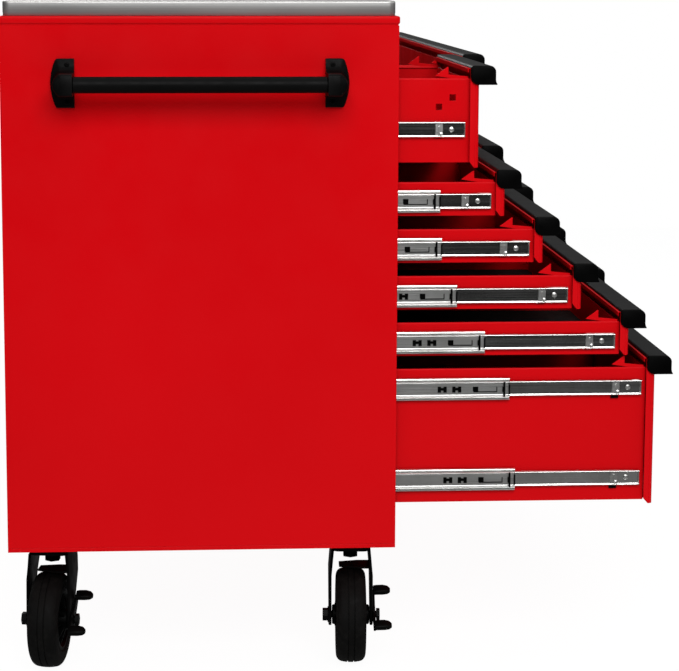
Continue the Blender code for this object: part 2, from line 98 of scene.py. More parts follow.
class Nodes:
    """A material's node tree with short calls for the nodes used here."""

    def __init__(self, name, colour, roughness, metallic=0.0, **sockets):
        self.material = bpy.data.materials.new(name)
        self.material.use_nodes = True
        self.tree = self.material.node_tree
        self.shader = self.tree.nodes["Principled BSDF"]
        self.shader.inputs["Base Color"].default_value = (*colour, 1.0)
        self.shader.inputs["Roughness"].default_value = roughness
        self.shader.inputs["Metallic"].default_value = metallic
        for socket, value in sockets.items():
            self.shader.inputs[socket.replace("_", " ")].default_value = value
        self.place = self.tree.nodes.new("ShaderNodeTexCoord").outputs["Object"]

    def link(self, output, node, socket):
        self.tree.links.new(output, node.inputs[socket])

    def noise(self, scale, detail=2.0, stretch=(1.0, 1.0, 1.0)):
        mapping = self.tree.nodes.new("ShaderNodeMapping")
        mapping.inputs["Scale"].default_value = stretch
        self.link(self.place, mapping, "Vector")
        noise = self.tree.nodes.new("ShaderNodeTexNoise")
        noise.inputs["Scale"].default_value = scale
        noise.inputs["Detail"].default_value = detail
        self.link(mapping.outputs["Vector"], noise, "Vector")
        return noise.outputs["Fac"]

    def spread(self, value, low, high, start=0.3, end=0.7):
        ranged = self.tree.nodes.new("ShaderNodeMapRange")
        ranged.inputs["From Min"].default_value = start
        ranged.inputs["From Max"].default_value = end
        ranged.inputs["To Min"].default_value = low
        ranged.inputs["To Max"].default_value = high
        self.link(value, ranged, "Value")
        return ranged.outputs["Result"]

    def mix(self, factor, first, second):
        mixed = self.tree.nodes.new("ShaderNodeMix")
        mixed.data_type = "RGBA"
        self.tree.links.new(factor, mixed.inputs["Factor"])
        for socket, colour in ((6, first), (7, second)):
            if isinstance(colour, tuple):
                mixed.inputs[socket].default_value = (*colour, 1.0)
            else:
                self.tree.links.new(colour, mixed.inputs[socket])
        return mixed.outputs[2]

    def mottle(self, value, first, second, start=0.3, end=0.7):
        """A colour between two, following a noise value."""
        return self.mix(self.spread(value, 0.0, 1.0, start, end), first, second)

    def edge(self, start, end):
        """How much a point lies on an outer edge, from 0 to 1."""
        pointiness = self.tree.nodes.new("ShaderNodeNewGeometry").outputs["Pointiness"]
        return self.spread(pointiness, 0.0, 1.0, start, end)

    def colour(self, output):
        self.link(output, self.shader, "Base Color")

    def roughness(self, output):
        self.link(output, self.shader, "Roughness")

    def bump(self, height, strength, distance):
        bump = self.tree.nodes.new("ShaderNodeBump")
        bump.inputs["Strength"].default_value = strength
        bump.inputs["Distance"].default_value = distance
        self.link(height, bump, "Height")
        self.link(bump.outputs["Normal"], self.shader, "Normal")


def red_powder_coat():
    """Glossy powder coat: slight orange peel, soft mottling, paler on worn edges."""
    nodes = Nodes("red_powder_coat", (0.45, 0.001, 0.003), 0.34, Specular_IOR_Level=0.05)
    mottled = nodes.mottle(nodes.noise(2.2, 2.0), (0.44, 0.0006, 0.0024), (0.47, 0.0009, 0.0030))
    worn = nodes.mix(nodes.edge(0.53, 0.62), mottled, (0.49, 0.002, 0.005))
    nodes.colour(worn)
    nodes.roughness(nodes.spread(nodes.noise(14.0, 4.0), 0.30, 0.42))
    nodes.bump(nodes.noise(420.0, 1.0), 0.08, 0.0003)
    return nodes.material


def black_powder_coat():
    """Satin black paint on the handle, forks and base, greyer on worn edges."""
    nodes = Nodes("black_powder_coat", (0.0012, 0.0012, 0.0012), 0.50, Specular_IOR_Level=0.04)
    dusty = nodes.mottle(nodes.noise(18.0, 4.0), (0.0010, 0.0010, 0.0010), (0.0018, 0.0017, 0.0017))
    nodes.colour(nodes.mix(nodes.edge(0.54, 0.66), dusty, (0.005, 0.005, 0.005)))
    nodes.roughness(nodes.spread(nodes.noise(60.0, 3.0), 0.40, 0.55))
    nodes.bump(nodes.noise(700.0, 2.0), 0.14, 0.0003)
    return nodes.material


def black_extrusion():
    """Black anodised pull extrusion with fine drawn lines along X."""
    nodes = Nodes("black_anodised", (0.001, 0.001, 0.001), 0.42, Specular_IOR_Level=0.16)
    lines = nodes.noise(1.0, 3.0, (6.0, 900.0, 900.0))
    nodes.colour(nodes.mottle(lines, (0.0008, 0.0008, 0.0008), (0.0018, 0.0017, 0.0017)))
    nodes.roughness(nodes.spread(nodes.noise(9.0, 4.0), 0.34, 0.48))
    nodes.bump(lines, 0.10, 0.0002)
    return nodes.material


def black_moulding():
    """Moulded plastic end caps, hubs, bumpers: fine grain, slightly polished by hands."""
    nodes = Nodes("black_moulding", (0.0006, 0.0006, 0.0006), 0.55, Specular_IOR_Level=0.03)
    nodes.colour(nodes.mottle(nodes.noise(30.0, 3.0), (0.0004, 0.0004, 0.0004), (0.0009, 0.0009, 0.0009)))
    nodes.roughness(nodes.spread(nodes.noise(25.0, 2.0), 0.40, 0.58))
    nodes.bump(nodes.noise(1500.0, 2.0), 0.18, 0.0002)
    return nodes.material


def brushed_steel():
    """Brushed stainless worktop, brushed along X on top and along Y on its ends."""
    nodes = Nodes("brushed_steel", (0.55, 0.545, 0.535), 0.50, 1.0, Anisotropic=0.3)
    along_x = nodes.noise(1.0, 4.0, (4.0, 1100.0, 1100.0))
    along_y = nodes.noise(1.0, 4.0, (1100.0, 4.0, 1100.0))
    geometry = nodes.tree.nodes.new("ShaderNodeNewGeometry")
    split = nodes.tree.nodes.new("ShaderNodeSeparateXYZ")
    nodes.link(geometry.outputs["Normal"], split, "Vector")
    facing_x = nodes.tree.nodes.new("ShaderNodeMath")
    facing_x.operation = "ABSOLUTE"
    nodes.link(split.outputs["X"], facing_x, 0)
    is_end = nodes.spread(facing_x.outputs[0], 0.0, 1.0, 0.5, 0.7)
    lines = nodes.mix(is_end, along_x, along_y)
    smudged = nodes.noise(3.5, 4.0)
    nodes.colour(nodes.mottle(lines, (0.36, 0.355, 0.350), (0.45, 0.445, 0.440)))
    nodes.roughness(nodes.spread(smudged, 0.46, 0.58))
    nodes.bump(lines, 0.06, 0.0002)
    return nodes.material


def zinc_plate(name, smoothest, roughest):
    """Zinc plate on the slides, faintly cloudy, drawn along Y: bright on some members, duller on others."""
    nodes = Nodes(name, (0.70, 0.70, 0.69), smoothest, 1.0)
    drawn = nodes.noise(1.0, 3.0, (900.0, 6.0, 900.0))
    cloudy = nodes.noise(26.0, 4.0)
    nodes.colour(nodes.mottle(cloudy, (0.62, 0.62, 0.60), (0.78, 0.78, 0.77)))
    nodes.roughness(nodes.spread(drawn, smoothest, roughest))
    nodes.bump(drawn, 0.05, 0.0002)
    return nodes.material


def tyre_rubber():
    """Hard black tyre with a dusty, slightly scuffed tread."""
    nodes = Nodes("tyre_rubber", (0.002, 0.002, 0.002), 0.72, Specular_IOR_Level=0.08)
    scuffs = nodes.noise(90.0, 5.0)
    nodes.colour(nodes.mottle(scuffs, (0.0016, 0.0015, 0.0014), (0.0042, 0.0038, 0.0035), 0.45, 0.75))
    nodes.roughness(nodes.spread(scuffs, 0.62, 0.85))
    nodes.bump(scuffs, 0.25, 0.0006)
    return nodes.material


def black_mat_and_shade():
    """Black ribbed drawer liner, whose black is also painted shade on the drawer floors."""
    nodes = Nodes("black_mat_and_shade", (0.004, 0.004, 0.004), 0.80, Specular_IOR_Level=0.15)
    wave = nodes.tree.nodes.new("ShaderNodeTexWave")
    wave.bands_direction = "X"
    wave.inputs["Scale"].default_value = 60.0
    nodes.link(nodes.place, wave, "Vector")
    nodes.colour(nodes.mix(nodes.noise(200.0, 2.0), (0.0025, 0.0025, 0.0025), (0.0055, 0.0055, 0.0055)))
    nodes.bump(wave.outputs["Fac"], 0.5, 0.0008)
    nodes.roughness(nodes.spread(nodes.noise(50.0, 2.0), 0.72, 0.90))
    return nodes.material


RED = red_powder_coat()
BLACK_PAINT = black_powder_coat()
ANODISED = black_extrusion()
MOULDING = black_moulding()
STEEL = brushed_steel()
ZINC = zinc_plate("bright_zinc", 0.10, 0.19)
DULL_ZINC = zinc_plate("dull_zinc", 0.26, 0.38)
RUBBER = tyre_rubber()
# The liner's black is also painted shade on the drawer floors.
BLACK_MAT_AND_SHADE = black_mat_and_shade()


# Shapes

def add_piece(name, shape, finish, body, bevel=0.0, stands_for=(), smooth=35.0, segments=2):
    """Turn a bmesh into a piece that rides on a body, with its edges bevelled."""
    bmesh.ops.recalc_face_normals(shape, faces=shape.faces[:])
    mesh = bpy.data.meshes.new(name)
    shape.to_mesh(mesh)
    shape.free()
    mesh.materials.append(finish)
    mesh.shade_smooth()
    mesh.set_sharp_from_angle(angle=math.radians(smooth))
    piece = bpy.data.objects.new(name, mesh)
    bpy.context.scene.collection.objects.link(piece)
    if bevel:
        rounding = piece.modifiers.new("rounding", "BEVEL")
        rounding.width = bevel
        rounding.segments = segments
        rounding.limit_method = "ANGLE"
        rounding.angle_limit = math.radians(40)
    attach(piece, body)
    if stands_for:
        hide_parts(*stands_for)
    return piece


def box(x_range, y_range, z_range):
    """A box as its lowest and highest corners; x from the case's left face, y back from its front."""
    low = (CASE_LEFT + x_range[0], CASE_FRONT + y_range[0], z_range[0])
    high = (CASE_LEFT + x_range[1], CASE_FRONT + y_range[1], z_range[1])
    return low, high


def solid_of_boxes(added, cut=()):
    """One closed shape: the added boxes joined, less the cut boxes, on the grid of all their faces."""
    planes = [sorted({round(corner[axis], 6) for solid in (*added, *cut) for corner in solid})
              for axis in range(3)]

    def inside(solids, point):
        return any(all(low[axis] < point[axis] < high[axis] for axis in range(3)) for low, high in solids)

    filled = set()
    for i in range(len(planes[0]) - 1):
        for j in range(len(planes[1]) - 1):
            for k in range(len(planes[2]) - 1):
                cell = (i, j, k)
                middle = [(plane[step] + plane[step + 1]) / 2 for plane, step in zip(planes, cell)]
                if inside(added, middle) and not inside(cut, middle):
                    filled.add(cell)
    shape = bmesh.new()
    corners = {}

    def corner(index):
        if index not in corners:
            corners[index] = shape.verts.new([planes[axis][index[axis]] for axis in range(3)])
        return corners[index]

    for cell in filled:
        for axis in range(3):
            for side in (0, 1):
                beside = list(cell)
                beside[axis] += 1 if side else -1
                if tuple(beside) in filled:
                    continue
                ring = []
                for across, along in ((0, 0), (1, 0), (1, 1), (0, 1)):
                    index = list(cell)
                    index[axis] += side
                    index[(axis + 1) % 3] += across
                    index[(axis + 2) % 3] += along
                    ring.append(corner(tuple(index)))
                shape.faces.new(ring)
    bmesh.ops.dissolve_limit(shape, angle_limit=math.radians(1), verts=shape.verts[:], edges=shape.edges[:])
    return shape


def skin_rings(rings, capped=True):
    """Join rings of equal length with quads: capped at both ends, or closed into a loop."""
    shape = bmesh.new()
    loops = [[shape.verts.new(point) for point in ring] for ring in rings]
    pairs = list(zip(loops, loops[1:]))
    if not capped:
        pairs.append((loops[-1], loops[0]))
    for first, second in pairs:
        for step in range(len(first)):
            following = (step + 1) % len(first)
            shape.faces.new((first[step], first[following], second[following], second[step]))
    if capped:
        shape.faces.new(list(reversed(loops[0])))
        shape.faces.new(loops[-1])
    return shape


def arc(centre, radius, start, end, steps):
    """Points on an arc, with its angles in degrees."""
    x, y = centre
    angles = [math.radians(start + (end - start) * step / steps) for step in range(steps + 1)]
    return [(x + radius * math.cos(angle), y + radius * math.sin(angle)) for angle in angles]


def rounded_rectangle(x_range, y_range, radius, steps=6):
    """A rectangle's outline with an arc at each corner."""
    points = []
    corners = ((x_range[1], y_range[1], 0), (x_range[0], y_range[1], 90),
               (x_range[0], y_range[0], 180), (x_range[1], y_range[0], 270))
    for x, y, start in corners:
        centre = (x - math.copysign(radius, x - sum(x_range) / 2),
                  y - math.copysign(radius, y - sum(y_range) / 2))
        points += arc(centre, radius, start, start + 90, steps)
    return points


def prism(outline, axis, low, high):
    """An outline of two coordinates pushed along axis 0, 1 or 2, from low to high."""
    def ring(distance):
        return [tuple(point[:axis]) + (distance,) + tuple(point[axis:]) for point in outline]
    return skin_rings([ring(low), ring(high)])


def turned(profile, steps, place):
    """A closed profile of (radius, along) points turned about local Y, placed by a function."""
    rings = []
    for step in range(steps):
        angle = 2 * math.pi * step / steps
        rings.append([place((radius * math.cos(angle), along, radius * math.sin(angle)))
                      for radius, along in profile])
    return skin_rings(rings, capped=False)


def join(*shapes):
    """Several shapes as one bmesh."""
    whole = bmesh.new()
    for shape in shapes:
        part = bpy.data.meshes.new("part")
        shape.to_mesh(part)
        shape.free()
        whole.from_mesh(part)
        bpy.data.meshes.remove(part)
    return whole


def button(centre, axis, out, radius, height, sides=20, socket=True):
    """A round, domed screw or rivet head standing on a face, with a round socket where it has one."""
    def ring(r, along):
        points = []
        for step in range(sides):
            angle = 2 * math.pi * step / sides
            point = [r * math.cos(angle), r * math.sin(angle)]
            point.insert(axis, out * along)
            points.append(tuple(centre[k] + point[k] for k in range(3)))
        return points
    rings = [ring(radius, 0.0), ring(radius, height * 0.45), ring(radius * 0.86, height * 0.85),
             ring(radius * 0.62, height)]
    if socket:
        rings += [ring(radius * 0.42, height), ring(radius * 0.40, height * 0.35)]
    return skin_rings(rings)


# Case

def make_case():
    """Folded sheet body open at the front, with a hem line, a groove under the rim and the divider."""
    width = CASE_RIGHT - CASE_LEFT
    depth = CASE_REAR - CASE_FRONT
    rim_bottom = CASE_TOP - RIM_HEIGHT
    groove = 0.0022
    groove_depth = 0.0011
    body_top = rim_bottom - groove
    inner_x = (SHEET, width - SHEET)
    inner_z = (CASE_BOTTOM + SHEET, CASE_TOP - SHEET)
    rear = depth - SHEET
    middle = sum(DIVIDER_FLANGE) / 2
    back = FRONT_RECESS + SHEET
    hem_z = CASE_BOTTOM + 0.0062
    added = [
        box((0, width), (0, depth), (CASE_BOTTOM, hem_z)),
        box((0.0006, width - 0.0006), (0.0006, depth - 0.0006), (hem_z, hem_z + 0.0008)),
        box((0, width), (0, depth), (hem_z + 0.0008, body_top)),
        box((groove_depth, width - groove_depth), (groove_depth, depth - groove_depth),
            (body_top, CASE_TOP - 0.0005)),
    ]
    cut = [
        box(inner_x, (-RIM_PROUD, SHEET), (FASCIA_BOTTOM, FASCIA_TOP)),
        box(inner_x, (SHEET, FRONT_RECESS), inner_z),
        box((inner_x[0], DIVIDER_FLANGE[0]), (FRONT_RECESS, back), inner_z),
        box((DIVIDER_FLANGE[1], inner_x[1]), (FRONT_RECESS, back), inner_z),
        box((inner_x[0], middle - SHEET / 2), (back, rear), inner_z),
        box((middle + SHEET / 2, inner_x[1]), (back, rear), inner_z),
    ]
    add_piece("case_body", solid_of_boxes(added, cut), RED, "case", 0.0004, ("cabinet_case",))
    make_rim(rim_bottom)
    make_back_panel()
    make_slide_posts()


def make_rim(rim_bottom):
    """The rolled rim: a rounded band round the top edge, slightly proud of the sides."""
    def ring(out, z):
        x_range = (CASE_LEFT - out, CASE_RIGHT + out)
        y_range = (CASE_FRONT - out, CASE_REAR + out)
        outline = rounded_rectangle(x_range, y_range, 0.004 + out, 5)
        return [(x, y, z) for x, y in outline]
    radius = 0.0034
    sections = [(-0.0012, rim_bottom)]
    sections += [(x, z) for x, z in arc((RIM_PROUD - radius, rim_bottom + radius), radius, -90, 0, 5)]
    sections += [(x, z) for x, z in arc((RIM_PROUD - radius, CASE_TOP - radius), radius, 0, 90, 5)]
    sections += [(-0.0042, CASE_TOP), (-0.0042, CASE_TOP - 0.0010)]
    add_piece("case_rim", skin_rings([ring(out, z) for out, z in sections], capped=False), RED, "case")


def make_back_panel():
    """A raised field pressed into the back, and rows of spot welds along its edges."""
    inset = 0.045
    width = CASE_RIGHT - CASE_LEFT
    rings = []
    for margin, out in ((inset, -0.0002), (inset + 0.002, 0.0006), (inset + 0.006, 0.0009)):
        outline = rounded_rectangle((CASE_LEFT + margin, CASE_RIGHT - margin),
                                    (CASE_BOTTOM + margin, CASE_TOP - margin), 0.018)
        rings.append([(x, CASE_REAR + out, z) for x, z in outline])
    add_piece("back_panel", skin_rings(rings), RED, "case")
    welds = []
    count = 15
    for step in range(count):
        x = CASE_LEFT + 0.06 + (width - 0.12) * step / (count - 1)
        for z in (CASE_BOTTOM + 0.022, CASE_TOP - 0.030):
            welds.append(button((x, CASE_REAR - 0.0002, z), 1, 1, 0.0040, 0.0010, 14, False))
    add_piece("back_welds", join(*welds), RED, "case")


def make_slide_posts():
    """Slotted posts inside the case that carry the fixed slide members."""
    posts = []
    z_range = (CASE_BOTTOM + 0.010, CASE_TOP - 0.060)
    slot_pitch = 0.0256
    width = CASE_RIGHT - CASE_LEFT
    middle = sum(DIVIDER_FLANGE) / 2
    gap = 0.0002
    post_reach = 0.0050
    spans = (
        (SHEET + gap, post_reach),
        (DIVIDER_FLANGE[0] + gap, middle - SHEET / 2 - gap),
        (middle + SHEET / 2 + gap, DIVIDER_FLANGE[1] - gap),
        (width - post_reach, width - SHEET - gap),
    )
    for span in spans:
        for y in (0.045, 0.560):
            slots = []
            z = z_range[0] + 0.02
            while z < z_range[1] - 0.03:
                through = (span[0] - 0.001, span[1] + 0.001)
                slots.append(box(through, (y + 0.010, y + 0.014), (z, z + 0.012)))
                z += slot_pitch
            posts.append(solid_of_boxes([box(span, (y, y + 0.024), z_range)], slots))
    add_piece("slide_posts", join(*posts), RED, "case", 0.0004)


def make_worktop():
    """The folded stainless pan: a rounded top edge above a shallow step, and a turned-in hem."""
    low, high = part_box("worktop")
    edge = 0.0032

    def ring(inset, z):
        outline = rounded_rectangle((low[0] + inset, high[0] - inset), (low[1] + inset, high[1] - inset),
                                    0.012 - min(inset, 0.010), 8)
        return [(x, y, z) for x, y in outline]
    rings = [ring(0.0060, high[2] - 0.002), ring(0.0060, low[2] + 0.0012), ring(0.0060, low[2]),
             ring(0.0008, low[2]), ring(0.0004, low[2] + 0.0006), ring(0.0004, low[2] + 0.0040),
             ring(0.0, low[2] + 0.0048)]
    rings += [ring(edge - x, z) for x, z in arc((0.0, high[2] - edge), edge, 0, 90, 6)]
    add_piece("worktop_pan", skin_rings(rings), STEEL, "case", stands_for=("worktop",))


def make_handle():
    """The push bar, its two D-shaped brackets and their screws."""
    low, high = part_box("handle_bar")
    centre = ((low[0] + high[0]) / 2, (low[2] + high[2]) / 2)
    radius = (high[2] - low[2]) / 2
    rings = []
    for y, shrink in ((low[1], 0.0012), (low[1] + 0.0012, 0.0), (high[1] - 0.0012, 0.0), (high[1], 0.0012)):
        rings.append([(x, y, z) for x, z in arc(centre, radius - shrink, 0, 352.5, 47)])
    add_piece("push_bar", skin_rings(rings), BLACK_PAINT, "case", stands_for=("handle_bar",))
    for end, outward in (("front", -1), ("rear", 1)):
        make_bracket(end, outward, radius)


def make_bracket(end, outward, bar_radius):
    """A D-shaped foot plate that rises to a post round the bar's end, with two screws."""
    low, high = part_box(f"handle_bracket_{end}")
    flat = high[1] if outward < 0 else low[1]
    width = high[1] - low[1]
    height = high[2] - low[2]
    reach = CASE_LEFT - low[0]
    middle_z = (low[2] + high[2]) / 2

    def d_outline(shrink_y, shrink_z):
        half = height / 2 - shrink_z
        wide = width - shrink_y
        bow = 0.0075
        corner = min(0.0045, half * 0.3)
        steps = 16
        points = [(0.0, -half)]
        points += arc((wide - bow - corner, -half + corner), corner, -90, -20, 4)
        for step in range(1, steps):
            share = -1 + 2 * step / steps
            points.append((wide - bow * abs(share) ** 1.8, share * (half - corner * 0.6)))
        points += arc((wide - bow - corner, half - corner), corner, 20, 90, 4)
        points.append((0.0, half))
        return points

    def ring(out, shrink_y, shrink_z):
        outline = d_outline(shrink_y, shrink_z)
        return [(CASE_LEFT - out, flat + outward * y, middle_z + z) for y, z in outline]

    post = height / 2 - bar_radius - 0.0045
    foot = [ring(0.0003, 0.0, 0.0), ring(0.0062, 0.0, 0.0), ring(0.0072, 0.0010, 0.0012),
            ring(0.0078, 0.0030, 0.0035)]
    flare = [ring(0.0090, 0.0044, post * 0.55), ring(0.0140, 0.0052, post * 0.84), ring(0.0230, 0.0060, post)]
    cap = [ring(reach - 0.0045, 0.0064, post), ring(reach - 0.0016, 0.0078, post + 0.0012),
           ring(reach, 0.0110, post + 0.0042)]
    add_piece(f"bracket_{end}", skin_rings(foot + flare + cap), BLACK_PAINT, "case",
              stands_for=(f"handle_bracket_{end}",), smooth=40.0)
    screws = []
    for side in (-1, 1):
        centre = (CASE_LEFT - 0.0080, flat + outward * width * 0.30, middle_z + side * height * 0.38)
        screws.append(button(centre, 0, -1, 0.0042, 0.0026))
    add_piece(f"bracket_{end}_screws", join(*screws), BLACK_PAINT, "case")


# Drawers

def drawer_measures(bank, row):
    """A drawer's places at rest, read from its CAD bodies."""
    low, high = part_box(f"drawer_{bank}_{row + 1}")
    pull_low, pull_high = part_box(f"pull_{bank}_{row + 1}")
    wall_top = pull_high[2] - WALL_BELOW_PULL_TOP
    return {
        "face": low[1] - CASE_FRONT,
        "span": (low[0] - CASE_LEFT, high[0] - CASE_LEFT),
        "pull_span": (pull_low[0] - CASE_LEFT, pull_high[0] - CASE_LEFT),
        "bottom": low[2],
        "top": high[2],
        "lip": pull_low[2],
        "wall_top": wall_top,
        "wall_bottom": wall_top - WALL_HEIGHTS[row],
        "sides": BOX_SPAN[bank],
    }


def make_drawer(bank, row):
    size = drawer_measures(bank, row)
    body = f"{bank}_drawer_{row + 1}"
    name = f"{bank}_{row + 1}"
    make_drawer_box(size, body, name, row)
    make_drawer_front(size, body, name)
    make_drawer_corners(size, body, name)
    make_black_mat_and_shade(size, body, name)
    make_pull(size, body, name, bank, row)


def make_drawer_box(size, body, name, row):
    """Four walls and a floor, with rolled top edges."""
    sheet = DRAWER_SHEET
    sides = size["sides"]
    front = size["face"] + FRONT_DEPTH - sheet
    rear = size["face"] + DRAWER_DEPTH
    z_range = (size["wall_bottom"], size["wall_top"] - 0.002)
    added = [
        box(sides, (front, front + sheet), z_range),
        box(sides, (front, rear), (z_range[0], z_range[0] + sheet)),
        box(sides, (rear - sheet, rear), z_range),
        box((sides[0], sides[0] + sheet), (front, rear), z_range),
        box((sides[1] - sheet, sides[1]), (front, rear), z_range),
    ]
    cut = []
    hole = LATCH_HOLE_SIZE
    for back, height in LATCH_HOLES if row == 0 else ():
        low = size["face"] + back - hole / 2
        for wall in ((sides[0], sides[0] + sheet), (sides[1] - sheet, sides[1])):
            cut.append(box(wall, (low, low + hole), (height - hole / 2, height + hole / 2)))
    add_piece(f"drawer_{name}_box", solid_of_boxes(added, cut), RED, body, 0.0004,
              (f"drawer_{name}",))
    rolls = []
    roll = 0.0019
    top = size["wall_top"] - roll
    for x in (sides[0] + roll, sides[1] - roll):
        circle = arc((CASE_LEFT + x, top), roll, 0, 330, 11)
        ends = (CASE_FRONT + front + 0.001, CASE_FRONT + rear - 0.001)
        rolls.append(skin_rings([[(px, y, pz) for px, pz in circle] for y in ends]))
    circle = arc((CASE_FRONT + rear - roll, top), roll, 0, 330, 11)
    ends = (CASE_LEFT + sides[0] + 0.001, CASE_LEFT + sides[1] - 0.001)
    rolls.append(skin_rings([[(x, py, pz) for py, pz in circle] for x in ends]))
    add_piece(f"drawer_{name}_rolls", join(*rolls), RED, body)


def make_drawer_front(size, body, name):
    """The front: a sheet bent wide at each end into a flange with a cut corner, a top flange and a lip."""
    sheet = DRAWER_SHEET
    x0, x1 = (CASE_LEFT + x for x in size["span"])
    face = CASE_FRONT + size["face"]
    back = face + FRONT_DEPTH
    bend = 0.0065

    def wrap(inset):
        outer = arc((x0 + bend, face + bend), bend - inset, 180, 270, 7)
        outer += arc((x1 - bend, face + bend), bend - inset, 270, 360, 7)
        return outer
    outline = wrap(0.0) + list(reversed(wrap(sheet)))
    low = size["bottom"] + sheet * 0.2
    skin = prism(outline, 2, low, size["top"])
    cut_corner = [(face + bend, low), (face + bend + 0.001, low), (back, low + 0.0095), (back, size["top"]),
                  (face + bend, size["top"])]
    ends = [prism(cut_corner, 0, x0, x0 + sheet), prism(cut_corner, 0, x1 - sheet, x1)]
    behind_face = size["face"] + sheet + 0.0002
    flange_rear = size["face"] + 0.018
    flange_span = (size["span"][0] + 0.004, size["span"][1] - 0.004)
    flange = solid_of_boxes([
        box(flange_span, (behind_face, flange_rear), (size["top"] - sheet, size["top"])),
        box(flange_span, (flange_rear - sheet, flange_rear), (size["top"] - 0.007, size["top"])),
    ])
    lip_span = (size["span"][0] + bend, size["span"][1] - bend)
    lip = solid_of_boxes([
        box(lip_span, (behind_face, size["face"] + 0.0075), (size["bottom"], size["bottom"] + sheet)),
    ])
    add_piece(f"drawer_{name}_front", join(skin, *ends, flange, lip), RED, body, 0.0004)


def make_drawer_corners(size, body, name):
    """A gusset inside each front corner: a strip along the wall's top edge that rises to a point."""
    shapes = []
    sheet = DRAWER_SHEET
    face = CASE_FRONT + size["face"]
    top = size["wall_top"]
    plate = [(face + back, top + up) for back, up in (
        (0.0170, -0.0045), (0.0450, 0.0), (0.0705, 0.0040), (0.0505, 0.0185), (0.0490, 0.0185),
        (0.0490, 0.0060), (0.0170, 0.0030))]
    for side, inward in ((size["sides"][0], 1), (size["sides"][1], -1)):
        x = CASE_LEFT + side + inward * (sheet + 0.0003)
        ends = sorted((x, x + inward * sheet))
        shapes.append(prism(plate, 0, *ends))
    add_piece(f"drawer_{name}_corners", join(*shapes), RED, body, 0.0003)


def make_black_mat_and_shade(size, body, name):
    """A thin mat on the drawer's floor; its black is also painted shade inside the drawer."""
    x0 = CASE_LEFT + size["sides"][0] + 0.003
    x1 = CASE_LEFT + size["sides"][1] - 0.003
    y0 = CASE_FRONT + size["face"] + FRONT_DEPTH + 0.002
    y1 = CASE_FRONT + size["face"] + DRAWER_DEPTH - 0.004
    floor = size["wall_bottom"] + DRAWER_SHEET
    rings = []
    for inset, z in ((0.0, floor + 0.0003), (0.0, floor + 0.0018), (0.0006, floor + 0.0024)):
        outline = rounded_rectangle((x0 + inset, x1 - inset), (y0 + inset, y1 - inset), 0.004, 3)
        rings.append([(x, y, z) for x, y in outline])
    add_piece(f"drawer_{name}_floor_mat_shade", skin_rings(rings), BLACK_MAT_AND_SHADE, body)


def pull_outline(grow=0.0):
    """The pull's outside up to its top rear edge, and the round lower rear that only its caps have."""
    front = PULL_FRONT + grow
    rear = PULL_REAR + grow
    top = PULL_HEIGHT + grow
    points = [(-0.0285 - grow, -grow), (-0.0284 - grow, 0.0016), (-0.0270 - grow, 0.0040), (-front, 0.0080)]
    points += arc((-front + 0.0105, top - 0.0105), 0.0105, 180, 90, 9)
    points += arc((rear - 0.006, top - 0.006), 0.006, 90, 0, 5)
    return points, arc((rear - 0.013, 0.013 - grow), 0.013, 0, -90, 7)


def make_pull(size, body, name, bank, row):
    """A hooked extrusion, open below and behind, between two moulded end caps."""
    face = CASE_FRONT + size["face"]
    x0, x1 = (CASE_LEFT + x for x in size["pull_span"])
    wall = 0.0024
    bend = 0.007
    cap_end = 0.0042
    seam = cap_end - 0.0002
    roof = PULL_HEIGHT - 0.0040
    inner = -PULL_FRONT + wall
    hook, _ = pull_outline()
    hook += [(PULL_REAR - 0.0006, roof), (inner + bend, roof)]
    hook += arc((inner + bend, roof - bend), bend, 90, 180, 6)[1:]
    hook += [(inner, 0.0080), (inner - 0.0006, 0.0040), (-0.0285 + wall, 0.0)]
    placed = [(face + y, size["lip"] + z) for y, z in hook]
    add_piece(f"pull_{name}_extrusion", prism(placed, 0, x0 + seam, x1 - seam), ANODISED, body,
              stands_for=(f"pull_{bank}_{row + 1}",))
    caps = []
    for start, end in ((x0, x0 + cap_end), (x1, x1 - cap_end)):
        step = 1 if end > start else -1
        rings = []
        for along, grow in ((0.0, -0.0012), (0.0004, -0.0004), (0.0012, 0.0), (seam, 0.0)):
            over, under = pull_outline(grow)
            rings.append([(start + step * along, face + y, size["lip"] + z) for y, z in over + under])
        caps.append(skin_rings(rings))
    add_piece(f"pull_{name}_caps", join(*caps), MOULDING, body)


# Slides

def bump_curve(distance, half_width):
    """A smooth hump of height 1 at distance 0."""
    share = abs(distance) / half_width
    return math.cos(share * math.pi / 2) ** 2 if share < 1 else 0.0


def outer_depth(z):
    """The fixed member, in millimetres: a flat web with a lip turned towards the box at each edge."""
    return 0.4 + 8.0 * bump_curve(abs(z) - 22.8, 2.2)


def middle_depth(z):
    """The middle member, in millimetres: lip, ball groove, ridge and sunk centre from each edge inwards."""
    lip = 3.4 * bump_curve(abs(z) - 18.9, 1.4)
    groove = 2.6 * bump_curve(abs(z) - 15.2, 2.0)
    ridge = 2.7 * bump_curve(abs(z) - 11.6, 2.6)
    return 3.0 + lip + groove - ridge


def inner_depth(z):
    """The drawer member, in millimetres: a flat web deep behind two rounded edges."""
    edge = min(1.0, max(0.0, (abs(z) - 9.6) / 1.4))
    return 6.4 - 5.4 * edge * edge * (3 - 2 * edge) + 2.6 * bump_curve(abs(z) - 13.6, 2.2)


def member(depth, height, x_face, inward, y_range, centre_z, thickness=1.1):
    """A drawn member: its section is the depth curve and the same curve one sheet behind it."""
    millimetre = 0.001
    steps = 72
    half = height / 2 / millimetre
    levels = [-half + 2 * half * step / steps for step in range(steps + 1)]
    near = [(x_face + inward * depth(z) * millimetre, centre_z + z * millimetre) for z in levels]
    far = [(x + inward * thickness * millimetre, z) for x, z in reversed(near)]
    section = near + far
    return skin_rings([[(x, y, z) for x, z in section] for y in y_range])


